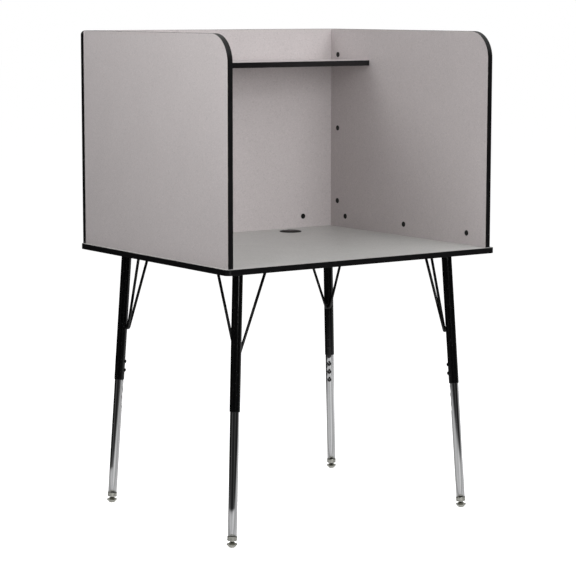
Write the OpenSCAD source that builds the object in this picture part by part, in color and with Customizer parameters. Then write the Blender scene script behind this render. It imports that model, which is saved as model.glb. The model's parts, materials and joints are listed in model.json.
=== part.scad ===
// Study carrel: a desk with three privacy panels and a shelf, on four splayed legs of adjustable height.
// Millimetres. +Z is up, the open front faces -Y, and the origin is on the floor under the desk's middle.

/* [Desk] */
// Width of the desk board without its edge band
desk_w = 914.4; // [880:0.1:1000]
// Depth of the desk board without its edge band
desk_d = 766; // [740:0.1:800]
// Height of the desk surface above the floor
desk_h = 760; // [740:1:790]
// Thickness of every board
board_t = 15.9; // [15:0.1:18]
// Radius of the four corners of the desk board
desk_corner_r = 15; // [12:1:30]

/* [Panels] */
// Height of the side and back panels above the desk
panel_h = 609.1; // [560:0.1:660]
// From the end of the desk board in to the outer face of a side panel
panel_inset = 10.3; // [6:0.1:20]
// From the front edge of the desk board back to the front edge of a side panel
panel_setback = 11; // [5:0.5:30]
// Radius of the top front corner of a side panel
panel_corner_r = 74.5; // [40:0.5:90]
// Radius of the two top corners of the back panel
back_corner_r = 12; // [12:1:30]

/* [Shelf] */
// Clear height from the desk to the underside of the shelf
shelf_rise = 501; // [420:1:530]
// Depth of the shelf board
shelf_d = 191.9; // [150:0.1:220]

/* [Edge band] */
// Thickness of the edge band
band_t = 0.5; // [0.5:0.1:3]
// Rounding of the two long corners of the edge band
band_round = 0.4; // [0.2:0.1:0.5]

/* [Legs] */
// Distance of a leg from the middle of the desk at the desk's underside, sideways
leg_top_x = 358.5; // [340:0.5:370]
// Distance of a leg from the middle of the desk at the desk's underside, front to back
leg_top_y = 285.5; // [270:0.5:300]
// How far a foot stands out sideways from the top of its leg
splay_x = 41.3; // [30:0.1:50]
// How far a foot stands out front to back from the top of its leg
splay_y = 30.9; // [25:0.1:40]
// Outer diameter of the upper tube
upper_od = 28.6; // [28.6:0.1:32]
// Length of the upper tube measured from the desk's underside
upper_len = 380; // [370:1:400]
// Outer diameter of the lower tube, which slides in the upper tube
lower_od = 25.4; // [24:0.1:25.4]
// Wall thickness of the lower tube
tube_wall = 1.5; // [1.2:0.1:2]
// Distance between neighbouring height holes
hole_pitch = 25.4; // [20:0.1:30]

/* [Braces] */
// Diameter of the bent brace rod
rod_d = 8; // [6:0.5:10]
// Centre-line radius of the bend at the foot of the brace
rod_bend_r = 7.5; // [7:0.5:12]
// Distance of the two brace ends from the leg, towards the middle of the desk
brace_in = 53.4; // [45:0.1:56]
// Distance of each brace end to the side of the leg
brace_side = 68; // [50:0.1:70]
// How far down the leg the two straight stretches of the brace would meet
brace_drop = 249.6; // [220:0.1:280]

/* [Grommet] */
// Sideways place of the cable grommet
grommet_x = 221.3; // [-200:0.1:225]
// Front-to-back place of the cable grommet
grommet_y = 289; // [250:0.1:300]
// Diameter of the hole in the desk for the grommet
grommet_hole_d = 60; // [50:1:62]

/* [Hidden] */
$fn = 96;

LAMINATE = [0.66, 0.65, 0.63];
BAND_BLACK = [0.07, 0.07, 0.07];
LEG_BLACK = [0.04, 0.04, 0.045];
CHROME = [0.80, 0.81, 0.83];
NICKEL = [0.72, 0.70, 0.64];
ZINC = [0.62, 0.63, 0.65];

// Boards
under_z = desk_h - board_t;
back_front_y = desk_d / 2 + band_t - board_t;
panel_front_y = -desk_d / 2 + panel_setback;
panel_in_x = desk_w / 2 - panel_inset - board_t;
panel_mid_x = panel_in_x + board_t / 2;
back_w = desk_w - 2 * panel_inset - 2 * band_t;
shelf_z = desk_h + shelf_rise;
shelf_front_y = back_front_y - shelf_d;

// How far a cutting shape runs past the face it cuts, and a bare touch of the same kind
cut = 1;
overlap = 0.01;

// Cam fasteners: cam_set is from the cam's centre to the edge of its board
cam_set = 34.5;
cam_r = 7.4;
cam_h = 12.4;
cam_pocket_r = 7.5;
cam_pocket_h = 12.7;
cam_bore_r = 4;
cam_recess_r = 2.3;
bolt_hole_r = 2.5;
bolt_bite = 10.5;
bolt_hole_depth = 11;
cover_r = 8;
cover_t = 1;
side_cam_low = 80;
side_cam_step = 225.5;
base_cam_front = 84;
base_cam_back = 75.5;
back_cam_x = 324.6;
shelf_cam_edge = 40;

// Heights of the cams that pull a side panel to the back panel
side_cam_z = [for (i = [0:2]) desk_h + side_cam_low + side_cam_step * i];
// Places of the cams that pull a side panel down to the desk
base_cam_first = panel_front_y + base_cam_front;
base_cam_last = back_front_y - base_cam_back;
base_cam_y = [base_cam_first, (base_cam_first + base_cam_last) / 2, base_cam_last];
shelf_cam_y = [shelf_front_y + shelf_cam_edge, back_front_y - shelf_cam_edge];

// Legs: lengths down a leg are measured along its axis from the desk's underside
leg_len = norm([splay_x, splay_y, under_z]);
leg_lean = acos(under_z / leg_len);
leg_heading = atan2(splay_y, splay_x);
slide_gap = 0.1;
lower_r = lower_od / 2;
upper_bore_r = lower_r + slide_gap;
upper_r = upper_od / 2;
crimp_r = 1.2;
lower_top = 210;
screw_down = 326;
holes_above = 4;
holes_below = 5;
height_hole_r = 3.2;
dimple_r = 4.3;
dimple_depth = 0.8;
screw_hole_r = 3;
screw_shank_r = 2.9;
screw_head_r = 5.4;
screw_head_h = 4;

// Mounting plate of a leg, seen with +X towards the middle of the desk
plate_t = 3;
plate_out = 24;
plate_in = 66;
plate_side = 80;
plate_corner_r = 10;
plate_holes = [[-12, 38], [18, 70], [56, 28]];
plate_hole_r = 2.6;
wood_screw_r = 2.1;
wood_screw_len = plate_t + 11;
wood_screw_head_r = 4.4;
wood_screw_head_h = 2.4;
pilot_r = 2.2;
pilot_depth = 12;
head_gap = 0.02;

// Foot: ferrule on the tube's end, and a glide with a ball in a socket
ferrule_bottom = leg_len - 18.2;
ferrule_h = 12.4;
ferrule_top = ferrule_bottom - ferrule_h;
ferrule_floor = 3;
end_gap = 0.5;
ferrule_r = 13.4;
ferrule_lip = 0.5;
bead_r = 1.6;
bead_out = 0.6;
bead_from_end = 2.6;
plug_len = 24;
glide_bore_r = 4;
glide_stem_r = 3.95;
glide_neck_r = 2.9;
glide_stem_len = 32;
ball_r = 5;
socket_r = 5.08;
pivot_z = 9;
glide_rim_r = 15.3;
glide_flat_r = 7.4;
glide_rim_z = 8.8;
glide_rim_round = 0.5;
glide_top_z = 14.6;
glide_top_r = 5.7;
glide_collar_r = 6;
glide_collar_low = 6.95;
glide_collar_gap = 0.05;
glide_mouth_low_r = 4.2;
glide_mouth_high_r = 4.75;
glide_mouth_low = 2.7;

// Grommet
liner_r = grommet_hole_d / 2 - 0.2;
liner_in_r = liner_r - 3.8;
flange_r = liner_r + 3.2;
flange_h = 2.2;
cap_seat_z = 0.2;
cap_gap = 0.1;
cap_r = liner_r - 1.9;
cap_top_z = 3.4;
cap_skirt_h = 4;
cap_skirt_t = 1.6;
cap_notch_w = 16;
cap_notch_in = 12;

// Points on an arc about (cx, cy) from angle a0 to angle a1
function arc(cx, cy, r, a0, a1, steps = 12) =
    [for (i = [0:steps]) let (a = a0 + (a1 - a0) * i / steps) [cx + r * cos(a), cy + r * sin(a)]];
function unit(v) = v / norm(v);

// Place on the axis of the back right leg, a distance down from the desk's underside
leg_dir = [splay_x, splay_y, -under_z] / leg_len;
function leg_point(down) = [leg_top_x, leg_top_y, under_z] + leg_dir * down;

// The place for the leg at side sx and end sy, as a mirror image of the back right one
module quarter(sx, sy) {
    mirror([sx < 0 ? 1 : 0, 0, 0])
        mirror([0, sy < 0 ? 1 : 0, 0])
            children();
}

// Along a leg: +Z runs down the leg and +X faces the middle of the desk
module along_leg(sx, sy) {
    quarter(sx, sy)
        translate([leg_top_x, leg_top_y, under_z])
            rotate([0, 180 - leg_lean, leg_heading])
                rotate([0, 0, leg_heading - 45])
                    children();
}

// Under the desk over a leg: +Z is up and +X faces the middle of the desk
module over_leg(sx, sy) {
    quarter(sx, sy)
        translate([leg_top_x, leg_top_y, under_z])
            rotate([0, 0, 225])
                children();
}

// A board drawn flat is stood up as a side panel on the right, or as the back panel
module stand_side() {
    translate([panel_mid_x, 0, desk_h])
        rotate([90, 0, 90])
            children();
}

module stand_back() {
    translate([0, back_front_y + board_t / 2, desk_h])
        rotate([90, 0, 0])
            children();
}

module left_copy() {
    mirror([1, 0, 0])
        children();
}

// ---- Board outlines and the edges that carry the band ----

module desk_outline() {
    x = desk_w / 2 - desk_corner_r;
    y = desk_d / 2 - desk_corner_r;
    r = desk_corner_r;
    polygon(concat(
        arc(x, y, r, 0, 90),
        arc(-x, y, r, 90, 180),
        arc(-x, -y, r, 180, 270),
        arc(x, -y, r, 270, 360)
    ));
}

module side_outline() {
    r = panel_corner_r;
    polygon(concat(
        [[panel_front_y, 0], [back_front_y, 0], [back_front_y, panel_h]],
        arc(panel_front_y + r, panel_h - r, r, 90, 180, 24)
    ));
}

module back_outline() {
    x = back_w / 2 - back_corner_r;
    r = back_corner_r;
    polygon(concat(
        [[-back_w / 2, 0], [back_w / 2, 0]],
        arc(x, panel_h - r, r, 0, 90),
        arc(-x, panel_h - r, r, 90, 180)
    ));
}

// Sweeps a profile along a straight edge whose middle is at (x, y) and that faces the given angle
module straight_edge(angle, x, y, length) {
    translate([x, y, 0])
        rotate([0, 0, angle])
            rotate([90, 0, 0])
                linear_extrude(length, center = true)
                    children();
}

// Sweeps a profile round a quarter corner that starts at the given angle
module corner_edge(angle, x, y, r) {
    translate([x, y, 0])
        rotate([0, 0, angle])
            rotate_extrude(angle = 90)
                translate([r, 0])
                    children();
}

module desk_edge() {
    r = desk_corner_r;
    for (side = [0, 180]) {
        rotate([0, 0, side]) {
            straight_edge(0, desk_w / 2, 0, desk_d - 2 * r) children();
            corner_edge(0, desk_w / 2 - r, desk_d / 2 - r, r) children();
            straight_edge(90, 0, desk_d / 2, desk_w - 2 * r) children();
            corner_edge(90, r - desk_w / 2, desk_d / 2 - r, r) children();
        }
    }
}

module side_edge() {
    r = panel_corner_r;
    top_len = back_front_y - panel_front_y - r;
    straight_edge(180, panel_front_y, (panel_h - r) / 2, panel_h - r) children();
    corner_edge(90, panel_front_y + r, panel_h - r, r) children();
    straight_edge(90, back_front_y - top_len / 2, panel_h, top_len) children();
}

module back_edge() {
    r = back_corner_r;
    straight_edge(180, -back_w / 2, (panel_h - r) / 2, panel_h - r) children();
    corner_edge(90, r - back_w / 2, panel_h - r, r) children();
    straight_edge(90, 0, panel_h, back_w - 2 * r) children();
    corner_edge(0, back_w / 2 - r, panel_h - r, r) children();
    straight_edge(0, back_w / 2, (panel_h - r) / 2, panel_h - r) children();
}

module shelf_edge() {
    straight_edge(270, 0, shelf_front_y, 2 * panel_in_x) children();
}

// Cross-section of the band: a flat strip over the board's edge with eased corners
module band_profile() {
    half = board_t / 2;
    x = band_t - band_round;
    y = half - band_round;
    polygon(concat(
        [[0, -half]],
        arc(x, -y, band_round, -90, 0, 3),
        arc(x, y, band_round, 0, 90, 3),
        [[0, half]]
    ));
}

// ---- Fastener shapes ----

// Pocket for a cam in a face at z = 0, with its bore leaving along +X to the board's edge
module cam_pocket() {
    translate([0, 0, -cam_pocket_h])
        cylinder(r = cam_pocket_r, h = cam_pocket_h + cut);
    translate([0, 0, -board_t / 2])
        rotate([0, 90, 0])
            cylinder(r = cam_bore_r, h = cam_set + cut);
}

// Cam with a side hole for the bolt's head and a cross for the driver
module cam_lock() {
    slot_len = 10;
    slot_w = 1.4;
    slot_depth = 2;
    bolt_room_r = 3.3;
    difference() {
        translate([0, 0, -cam_h])
            cylinder(r = cam_r, h = cam_h);
        translate([-cut, 0, -board_t / 2])
            rotate([0, 90, 0])
                cylinder(r = bolt_room_r, h = cam_r + 2 * cut);
        translate([0, 0, -slot_depth])
            cylinder(r = cam_recess_r, h = slot_depth + cut);
        for (turn = [0, 90]) {
            rotate([0, 0, turn])
                translate([-slot_len / 2, -slot_w / 2, -slot_depth])
                    cube([slot_len, slot_w, slot_depth + cut]);
        }
    }
}

// Cap over a cam, with a spigot in the cam's recess
module cam_cover() {
    round_r = 0.6;
    spigot_r = 2;
    spigot_h = 1.6;
    rotate_extrude()
        polygon(concat(
            [[0, -spigot_h], [spigot_r, -spigot_h], [spigot_r, 0], [cover_r, 0]],
            arc(cover_r - round_r, cover_t - round_r, round_r, 0, 90, 4),
            [[0, cover_t]]
        ));
}

// Bolt screwed into the neighbouring board, from the shared face at the cam's far edge
module cam_bolt() {
    thread_r = 2.4;
    pin_r = 3;
    neck_r = 2;
    neck_len = 4;
    cone_len = 1;
    head_len = 2;
    tip = cam_set - 0.8;
    neck_high = tip - head_len - cone_len;
    neck_low = neck_high - neck_len;
    translate([cam_set, 0, -board_t / 2])
        rotate([0, -90, 0])
            rotate_extrude()
                polygon([
                    [0, -bolt_bite], [thread_r, -bolt_bite], [thread_r, 0], [pin_r, 0],
                    [pin_r, neck_low - cone_len], [neck_r, neck_low], [neck_r, neck_high],
                    [pin_r, tip - head_len], [pin_r, tip], [0, tip]
                ]);
}

module cam_bolt_hole() {
    translate([cam_set, 0, -board_t / 2])
        rotate([0, 90, 0])
            cylinder(r = bolt_hole_r, h = bolt_hole_depth);
}

// Places of the cams, each with +Z out of the face that shows and +X towards the board's edge
module at_side_rear_cams() {
    for (z = side_cam_z) {
        translate([panel_in_x, back_front_y - cam_set, z])
            multmatrix([[0, 0, -1, 0], [1, 0, 0, 0], [0, -1, 0, 0], [0, 0, 0, 1]])
                children();
    }
}

module at_side_base_cams() {
    for (y = base_cam_y) {
        translate([panel_in_x, y, desk_h + cam_set])
            multmatrix([[0, 0, -1, 0], [0, -1, 0, 0], [-1, 0, 0, 0], [0, 0, 0, 1]])
                children();
    }
}

module at_back_cams() {
    for (x = [-back_cam_x, back_cam_x]) {
        translate([x, back_front_y, desk_h + cam_set])
            multmatrix([[0, 1, 0, 0], [0, 0, -1, 0], [-1, 0, 0, 0], [0, 0, 0, 1]])
                children();
    }
}

module at_shelf_cams() {
    for (y = shelf_cam_y) {
        translate([panel_in_x - cam_set, y, shelf_z])
            rotate([180, 0, 0])
                children();
    }
}

module both_sides() {
    children();
    left_copy()
        children();
}

// Screw along +Z with its domed head at the bottom and a cross for the driver
module domed_screw(shank_r, shank_len, head_r, head_h) {
    slot_w = 1.2;
    slot_len = head_r * 1.1;
    slot_depth = head_h * 0.6;
    dome_steps = 6;
    dome = [for (i = [0:dome_steps])
        let (a = 90 * i / dome_steps)
        [head_r * sin(a), -head_h * cos(a)]];
    difference() {
        rotate_extrude()
            polygon(concat(dome, [[shank_r, 0], [shank_r, shank_len], [0, shank_len]]));
        for (turn = [45, 135]) {
            rotate([0, 0, turn])
                translate([-slot_len / 2, -slot_w / 2, -head_h - cut])
                    cube([slot_len, slot_w, slot_depth + cut]);
        }
    }
}

// ---- Boards and bands ----

module desk_top() {
    color(LAMINATE)
        difference() {
            translate([0, 0, under_z])
                linear_extrude(board_t)
                    desk_outline();
            translate([grommet_x, grommet_y, under_z - cut])
                cylinder(d = grommet_hole_d, h = board_t + 2 * cut);
            both_sides() at_side_base_cams() cam_bolt_hole();
            at_back_cams() cam_bolt_hole();
            for (sx = [-1, 1], sy = [-1, 1]) {
                over_leg(sx, sy)
                    at_plate_holes()
                        translate([0, 0, -cut])
                            cylinder(r = pilot_r, h = pilot_depth + cut);
            }
        }
}

module desk_edge_band() {
    color(BAND_BLACK)
        translate([0, 0, under_z + board_t / 2])
            desk_edge() band_profile();
}

module side_panel() {
    color(LAMINATE)
        difference() {
            stand_side()
                translate([0, 0, -board_t / 2])
                    linear_extrude(board_t)
                        side_outline();
            at_side_rear_cams() cam_pocket();
            at_side_base_cams() cam_pocket();
            at_shelf_cams() cam_bolt_hole();
        }
}

module side_edge_band() {
    color(BAND_BLACK)
        stand_side()
            side_edge() band_profile();
}

module back_panel() {
    color(LAMINATE)
        difference() {
            stand_back()
                translate([0, 0, -board_t / 2])
                    linear_extrude(board_t)
                        back_outline();
            at_back_cams() cam_pocket();
            both_sides() at_side_rear_cams() cam_bolt_hole();
        }
}

module back_edge_band() {
    color(BAND_BLACK)
        stand_back()
            back_edge() band_profile();
}

module shelf() {
    color(LAMINATE)
        difference() {
            translate([-panel_in_x, shelf_front_y, shelf_z])
                cube([2 * panel_in_x, shelf_d, board_t]);
            both_sides() at_shelf_cams() cam_pocket();
        }
}

module shelf_edge_band() {
    color(BAND_BLACK)
        translate([0, 0, shelf_z + board_t / 2])
            shelf_edge() band_profile();
}

// ---- Fastener groups ----

module side_cam_locks() {
    color(ZINC) {
        at_side_rear_cams() cam_lock();
        at_side_base_cams() cam_lock();
    }
}

module back_cam_locks() {
    color(ZINC)
        at_back_cams() cam_lock();
}

module shelf_cam_locks() {
    color(ZINC)
        both_sides() at_shelf_cams() cam_lock();
}

module side_cam_covers() {
    color(BAND_BLACK) {
        at_side_rear_cams() cam_cover();
        at_side_base_cams() cam_cover();
    }
}

module back_cam_covers() {
    color(BAND_BLACK)
        at_back_cams() cam_cover();
}

module desk_cam_bolts() {
    color(ZINC) {
        both_sides() at_side_base_cams() cam_bolt();
        at_back_cams() cam_bolt();
    }
}

module back_cam_bolts() {
    color(ZINC)
        both_sides() at_side_rear_cams() cam_bolt();
}

module shelf_cam_bolts() {
    color(ZINC)
        both_sides() at_shelf_cams() cam_bolt();
}

// ---- Grommet ----

module grommet_liner() {
    edge_r = 1.2;
    color(BAND_BLACK)
        translate([grommet_x, grommet_y, desk_h])
            rotate_extrude()
                polygon(concat(
                    [[liner_in_r, -board_t], [liner_r, -board_t], [liner_r, 0], [flange_r, 0]],
                    arc(flange_r - edge_r, flange_h - edge_r, edge_r, 0, 90, 5),
                    [[cap_r + cap_gap, flange_h], [cap_r + cap_gap, cap_seat_z], [liner_in_r, cap_seat_z]]
                ));
}

module grommet_cap() {
    edge_r = 1;
    skirt_r = liner_in_r - cap_gap;
    color(BAND_BLACK)
        translate([grommet_x, grommet_y, desk_h])
            difference() {
                rotate_extrude()
                    polygon(concat(
                        [[0, cap_seat_z], [skirt_r - cap_skirt_t, cap_seat_z]],
                        [[skirt_r - cap_skirt_t, -cap_skirt_h], [skirt_r, -cap_skirt_h]],
                        [[skirt_r, cap_seat_z], [cap_r, cap_seat_z]],
                        arc(cap_r - edge_r, cap_top_z - edge_r, edge_r, 0, 90, 5),
                        [[0, cap_top_z]]
                    ));
                translate([-cap_notch_w / 2, cap_notch_in, -cap_skirt_h - cut])
                    cube([cap_notch_w, cap_r, cap_skirt_h + cap_top_z + 2 * cut]);
            }
}

// ---- Legs ----

module at_plate_holes() {
    for (p = plate_holes, side = [-1, 1]) {
        translate([p[0], side * p[1], 0])
            children();
    }
}

module plate_outline() {
    r = plate_corner_r;
    low = r - plate_out;
    high = plate_in - r;
    side = plate_side - r;
    polygon(concat(
        arc(high, side, r, 0, 90, 8),
        arc(low, side, r, 90, 180, 8),
        arc(low, -side, r, 180, 270, 8),
        arc(high, -side, r, 270, 360, 8)
    ));
}

module leg_plate(sx, sy) {
    color(LEG_BLACK)
        over_leg(sx, sy)
            difference() {
                translate([0, 0, -plate_t])
                    linear_extrude(plate_t)
                        plate_outline();
                at_plate_holes()
                    translate([0, 0, -plate_t - cut])
                        cylinder(r = plate_hole_r, h = plate_t + 2 * cut);
            }
}

module leg_plate_screws() {
    color(ZINC)
        for (sx = [-1, 1], sy = [-1, 1]) {
            over_leg(sx, sy)
                at_plate_holes()
                    translate([0, 0, -plate_t])
                        domed_screw(wood_screw_r, wood_screw_len, wood_screw_head_r, wood_screw_head_h);
        }
}

// Everything above the underside of the leg plates
module above_plate() {
    size = desk_w;
    translate([-size, -size, under_z - plate_t])
        cube([2 * size, 2 * size, size]);
}

// Places of the two height screws on the upper tube, with +Z towards the leg's axis
module at_height_screws() {
    for (i = [0, 1]) {
        translate([0, 0, screw_down + hole_pitch * i])
            rotate([0, -90, 0])
                children();
    }
}

module upper_leg(sx, sy) {
    color(LEG_BLACK)
        difference() {
            along_leg(sx, sy)
                rotate_extrude()
                    polygon(concat(
                        [[upper_bore_r, 0], [upper_r, 0]],
                        arc(upper_r - crimp_r, upper_len - crimp_r, crimp_r, 0, 90, 5),
                        [[upper_bore_r, upper_len]]
                    ));
            above_plate();
            along_leg(sx, sy)
                at_height_screws()
                    translate([0, 0, -upper_r - cut])
                        cylinder(r = screw_hole_r, h = upper_r);
        }
}

// The screws reach through the upper tube's wall and end just clear of the lower tube
module height_screws(sx, sy) {
    color(LEG_BLACK)
        along_leg(sx, sy)
            at_height_screws()
                translate([0, 0, -upper_r - head_gap])
                    domed_screw(screw_shank_r, upper_r - upper_bore_r, screw_head_r, screw_head_h);
}

// Brace of the back right leg as three places: its two ends and the corner where their lines meet
brace_mid = [-cos(45), -sin(45), 0] * brace_in;
brace_across = [sin(45), -cos(45), 0] * brace_side;
brace_stand = 15.1;
rod_sides = 24;
rod_bend_steps = 10;
brace_corner = leg_point(brace_drop) + [-cos(45), -sin(45), 0] * brace_stand;
brace_ends = [for (s = [-1, 1]) [leg_top_x, leg_top_y, under_z] + brace_mid + brace_across * s];
brace_up = [for (p = brace_ends) unit(p - brace_corner)];
brace_axis = unit(brace_up[0] + brace_up[1]);
brace_half = acos(brace_up[0] * brace_axis);
bend_centre = brace_corner + brace_axis * rod_bend_r / sin(brace_half);
bend_across = unit(brace_up[1] - brace_up[0]);
bend_normal = cross(bend_across, brace_axis);

// Centre line of the brace: down one stretch, round the bend and up the other
brace_path = concat(
    [brace_ends[0]],
    [for (i = [0:rod_bend_steps])
        let (a = 180 + brace_half + (180 - 2 * brace_half) * i / rod_bend_steps)
        bend_centre + rod_bend_r * (bend_across * cos(a) + brace_axis * sin(a))],
    [brace_ends[1]]
);

// Direction of the centre line at its point i
function brace_way(i) =
    i <= 1 ? -brace_up[0] :
    i >= len(brace_path) - 2 ? brace_up[1] :
    unit(brace_path[i + 1] - brace_path[i - 1]);

// Points round the rod at point i of its centre line
function rod_ring(i) =
    let (side = cross(bend_normal, brace_way(i)))
    [for (k = [0:rod_sides - 1])
        let (a = 360 * k / rod_sides)
        brace_path[i] + (side * cos(a) + bend_normal * sin(a)) * rod_d / 2];

module bent_rod() {
    rings = len(brace_path);
    points = [for (i = [0:rings - 1]) each rod_ring(i)];
    walls = [for (i = [0:rings - 2], k = [0:rod_sides - 1])
        let (
            a = i * rod_sides + k,
            b = a + rod_sides,
            d = i * rod_sides + (k + 1) % rod_sides,
            c = d + rod_sides
        )
        each [[a, b, c], [a, c, d]]];
    low_end = [for (k = [0:rod_sides - 1]) k];
    high_end = [for (k = [1:rod_sides]) rings * rod_sides - k];
    polyhedron(points, concat([low_end, high_end], walls));
}

module brace(sx, sy) {
    color(LEG_BLACK)
        difference() {
            quarter(sx, sy)
                bent_rod();
            above_plate();
        }
}

module lower_leg(sx, sy) {
    wall_in = lower_r - tube_wall;
    tube_end = ferrule_bottom - ferrule_floor - end_gap;
    color(CHROME)
        along_leg(sx, sy)
            difference() {
                rotate_extrude()
                    polygon([
                        [wall_in, lower_top], [lower_r, lower_top],
                        [lower_r, tube_end], [wall_in, tube_end]
                    ]);
                for (i = [-holes_above:holes_below]) {
                    translate([0, 0, screw_down + hole_pitch * i])
                        rotate([0, 90, 0]) {
                            cylinder(r = height_hole_r, h = lower_r + cut);
                            translate([0, 0, lower_r - dimple_depth])
                                cylinder(r1 = height_hole_r, r2 = dimple_r + cut, h = dimple_depth + cut);
                        }
                }
            }
}

module leg_ferrule(sx, sy) {
    tube_gap = 0.05;
    inside = ferrule_bottom - ferrule_floor;
    plug_r = lower_r - tube_wall - tube_gap;
    bead_low = ferrule_bottom - bead_from_end;
    bead_high = ferrule_top + bead_from_end;
    bead_half = 50;
    bead_x = ferrule_r + bead_out - bead_r;
    color(NICKEL)
        along_leg(sx, sy)
            rotate_extrude()
                polygon(concat(
                    [[lower_r + tube_gap, inside], [lower_r + tube_gap, ferrule_top]],
                    [[ferrule_r - ferrule_lip, ferrule_top]],
                    arc(bead_x, bead_high, bead_r, -bead_half, bead_half, 8),
                    arc(bead_x, bead_low, bead_r, -bead_half, bead_half, 8),
                    [[ferrule_r - ferrule_lip, ferrule_bottom], [glide_bore_r, ferrule_bottom]],
                    [[glide_bore_r, ferrule_bottom - plug_len], [plug_r, ferrule_bottom - plug_len]],
                    [[plug_r, inside]]
                ));
}

pivot_down = leg_len * (1 - pivot_z / under_z);

// Threaded stem with a collar under the ferrule and a ball in the glide's socket
module glide_stem(sx, sy) {
    collar_top = ferrule_bottom + glide_collar_gap;
    collar_bottom = pivot_down - glide_collar_low;
    color(NICKEL)
        along_leg(sx, sy) {
            translate([0, 0, collar_bottom - glide_stem_len])
                cylinder(r = glide_stem_r, h = glide_stem_len);
            translate([0, 0, collar_top])
                cylinder(r = glide_collar_r, h = collar_bottom - collar_top);
            translate([0, 0, collar_bottom - cut])
                cylinder(r = glide_neck_r, h = glide_collar_low + cut);
            translate([0, 0, pivot_down])
                sphere(r = ball_r);
        }
}

// Conical base with a small flat to stand on and a socket for the ball
module glide_base(sx, sy) {
    foot = leg_point(pivot_down);
    mouth_low = pivot_z + glide_mouth_low;
    rim = arc(glide_rim_r - glide_rim_round, glide_rim_z, glide_rim_round, -40, 70, 4);
    color(NICKEL)
        quarter(sx, sy)
            translate([foot[0], foot[1], 0])
                difference() {
                    rotate_extrude()
                        polygon(concat(
                            [[0, 0], [glide_flat_r, 0]],
                            rim,
                            [[glide_top_r, glide_top_z], [0, glide_top_z]]
                        ));
                    translate([0, 0, pivot_z])
                        sphere(r = socket_r);
                    translate([0, 0, mouth_low])
                        cylinder(
                            r1 = glide_mouth_low_r,
                            r2 = glide_mouth_high_r,
                            h = glide_top_z - mouth_low + overlap
                        );
                }
}

// ---- Nodes ----

desk_top();
desk_edge_band();
left_copy() side_panel();  // left_panel
side_panel();  // right_panel
back_panel();
left_copy() side_edge_band();  // left_panel_edge_band
side_edge_band();  // right_panel_edge_band
back_edge_band();  // back_panel_edge_band
shelf();
shelf_edge_band();
left_copy() side_cam_locks();  // left_cam_locks
side_cam_locks();  // right_cam_locks
back_cam_locks();
shelf_cam_locks();
left_copy() side_cam_covers();  // left_cam_covers
side_cam_covers();  // right_cam_covers
back_cam_covers();
desk_cam_bolts();
back_cam_bolts();
shelf_cam_bolts();
grommet_liner();
grommet_cap();
leg_plate_screws();
leg_plate(-1, -1);  // front_left_leg_plate
leg_plate(1, -1);  // front_right_leg_plate
leg_plate(-1, 1);  // back_left_leg_plate
leg_plate(1, 1);  // back_right_leg_plate
upper_leg(-1, -1);  // front_left_upper_leg
upper_leg(1, -1);  // front_right_upper_leg
upper_leg(-1, 1);  // back_left_upper_leg
upper_leg(1, 1);  // back_right_upper_leg
brace(-1, -1);  // front_left_brace
brace(1, -1);  // front_right_brace
brace(-1, 1);  // back_left_brace
brace(1, 1);  // back_right_brace
height_screws(-1, -1);  // front_left_height_screws
height_screws(1, -1);  // front_right_height_screws
height_screws(-1, 1);  // back_left_height_screws
height_screws(1, 1);  // back_right_height_screws
lower_leg(-1, -1);  // front_left_lower_leg
lower_leg(1, -1);  // front_right_lower_leg
lower_leg(-1, 1);  // back_left_lower_leg
lower_leg(1, 1);  // back_right_lower_leg
leg_ferrule(-1, -1);  // front_left_ferrule
leg_ferrule(1, -1);  // front_right_ferrule
leg_ferrule(-1, 1);  // back_left_ferrule
leg_ferrule(1, 1);  // back_right_ferrule
glide_stem(-1, -1);  // front_left_glide_stem
glide_stem(1, -1);  // front_right_glide_stem
glide_stem(-1, 1);  // back_left_glide_stem
glide_stem(1, 1);  // back_right_glide_stem
glide_base(-1, -1);  // front_left_glide_base
glide_base(1, -1);  // front_right_glide_base
glide_base(-1, 1);  // back_left_glide_base
glide_base(1, 1);  // back_right_glide_base
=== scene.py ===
"""Looks of the study carrel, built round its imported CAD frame. Metres, +Z up, open front to -Y."""

import json
import math

import bmesh
import bpy
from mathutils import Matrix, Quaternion, Vector


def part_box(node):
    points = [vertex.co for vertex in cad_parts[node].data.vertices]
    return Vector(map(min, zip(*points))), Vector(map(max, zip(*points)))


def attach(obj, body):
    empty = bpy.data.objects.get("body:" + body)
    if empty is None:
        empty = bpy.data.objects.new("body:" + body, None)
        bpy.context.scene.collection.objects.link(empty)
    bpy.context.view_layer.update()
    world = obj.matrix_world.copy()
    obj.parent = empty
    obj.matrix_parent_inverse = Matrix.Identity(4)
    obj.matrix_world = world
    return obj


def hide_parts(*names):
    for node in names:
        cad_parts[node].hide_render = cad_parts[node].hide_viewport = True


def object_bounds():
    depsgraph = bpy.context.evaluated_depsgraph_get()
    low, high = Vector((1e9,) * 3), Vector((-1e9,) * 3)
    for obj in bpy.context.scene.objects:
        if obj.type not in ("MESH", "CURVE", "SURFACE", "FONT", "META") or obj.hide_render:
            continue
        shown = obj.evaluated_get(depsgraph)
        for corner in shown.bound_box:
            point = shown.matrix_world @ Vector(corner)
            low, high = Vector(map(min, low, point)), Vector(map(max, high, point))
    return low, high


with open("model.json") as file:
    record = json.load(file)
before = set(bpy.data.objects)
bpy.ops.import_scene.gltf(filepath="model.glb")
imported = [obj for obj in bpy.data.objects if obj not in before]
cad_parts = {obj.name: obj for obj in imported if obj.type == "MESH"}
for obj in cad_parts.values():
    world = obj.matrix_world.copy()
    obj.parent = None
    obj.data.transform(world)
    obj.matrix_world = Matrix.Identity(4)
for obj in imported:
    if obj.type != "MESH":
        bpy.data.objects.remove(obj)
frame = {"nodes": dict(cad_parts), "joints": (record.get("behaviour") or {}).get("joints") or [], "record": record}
cad_low, cad_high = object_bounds()
HEIGHT = cad_high.z - cad_low.z

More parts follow.
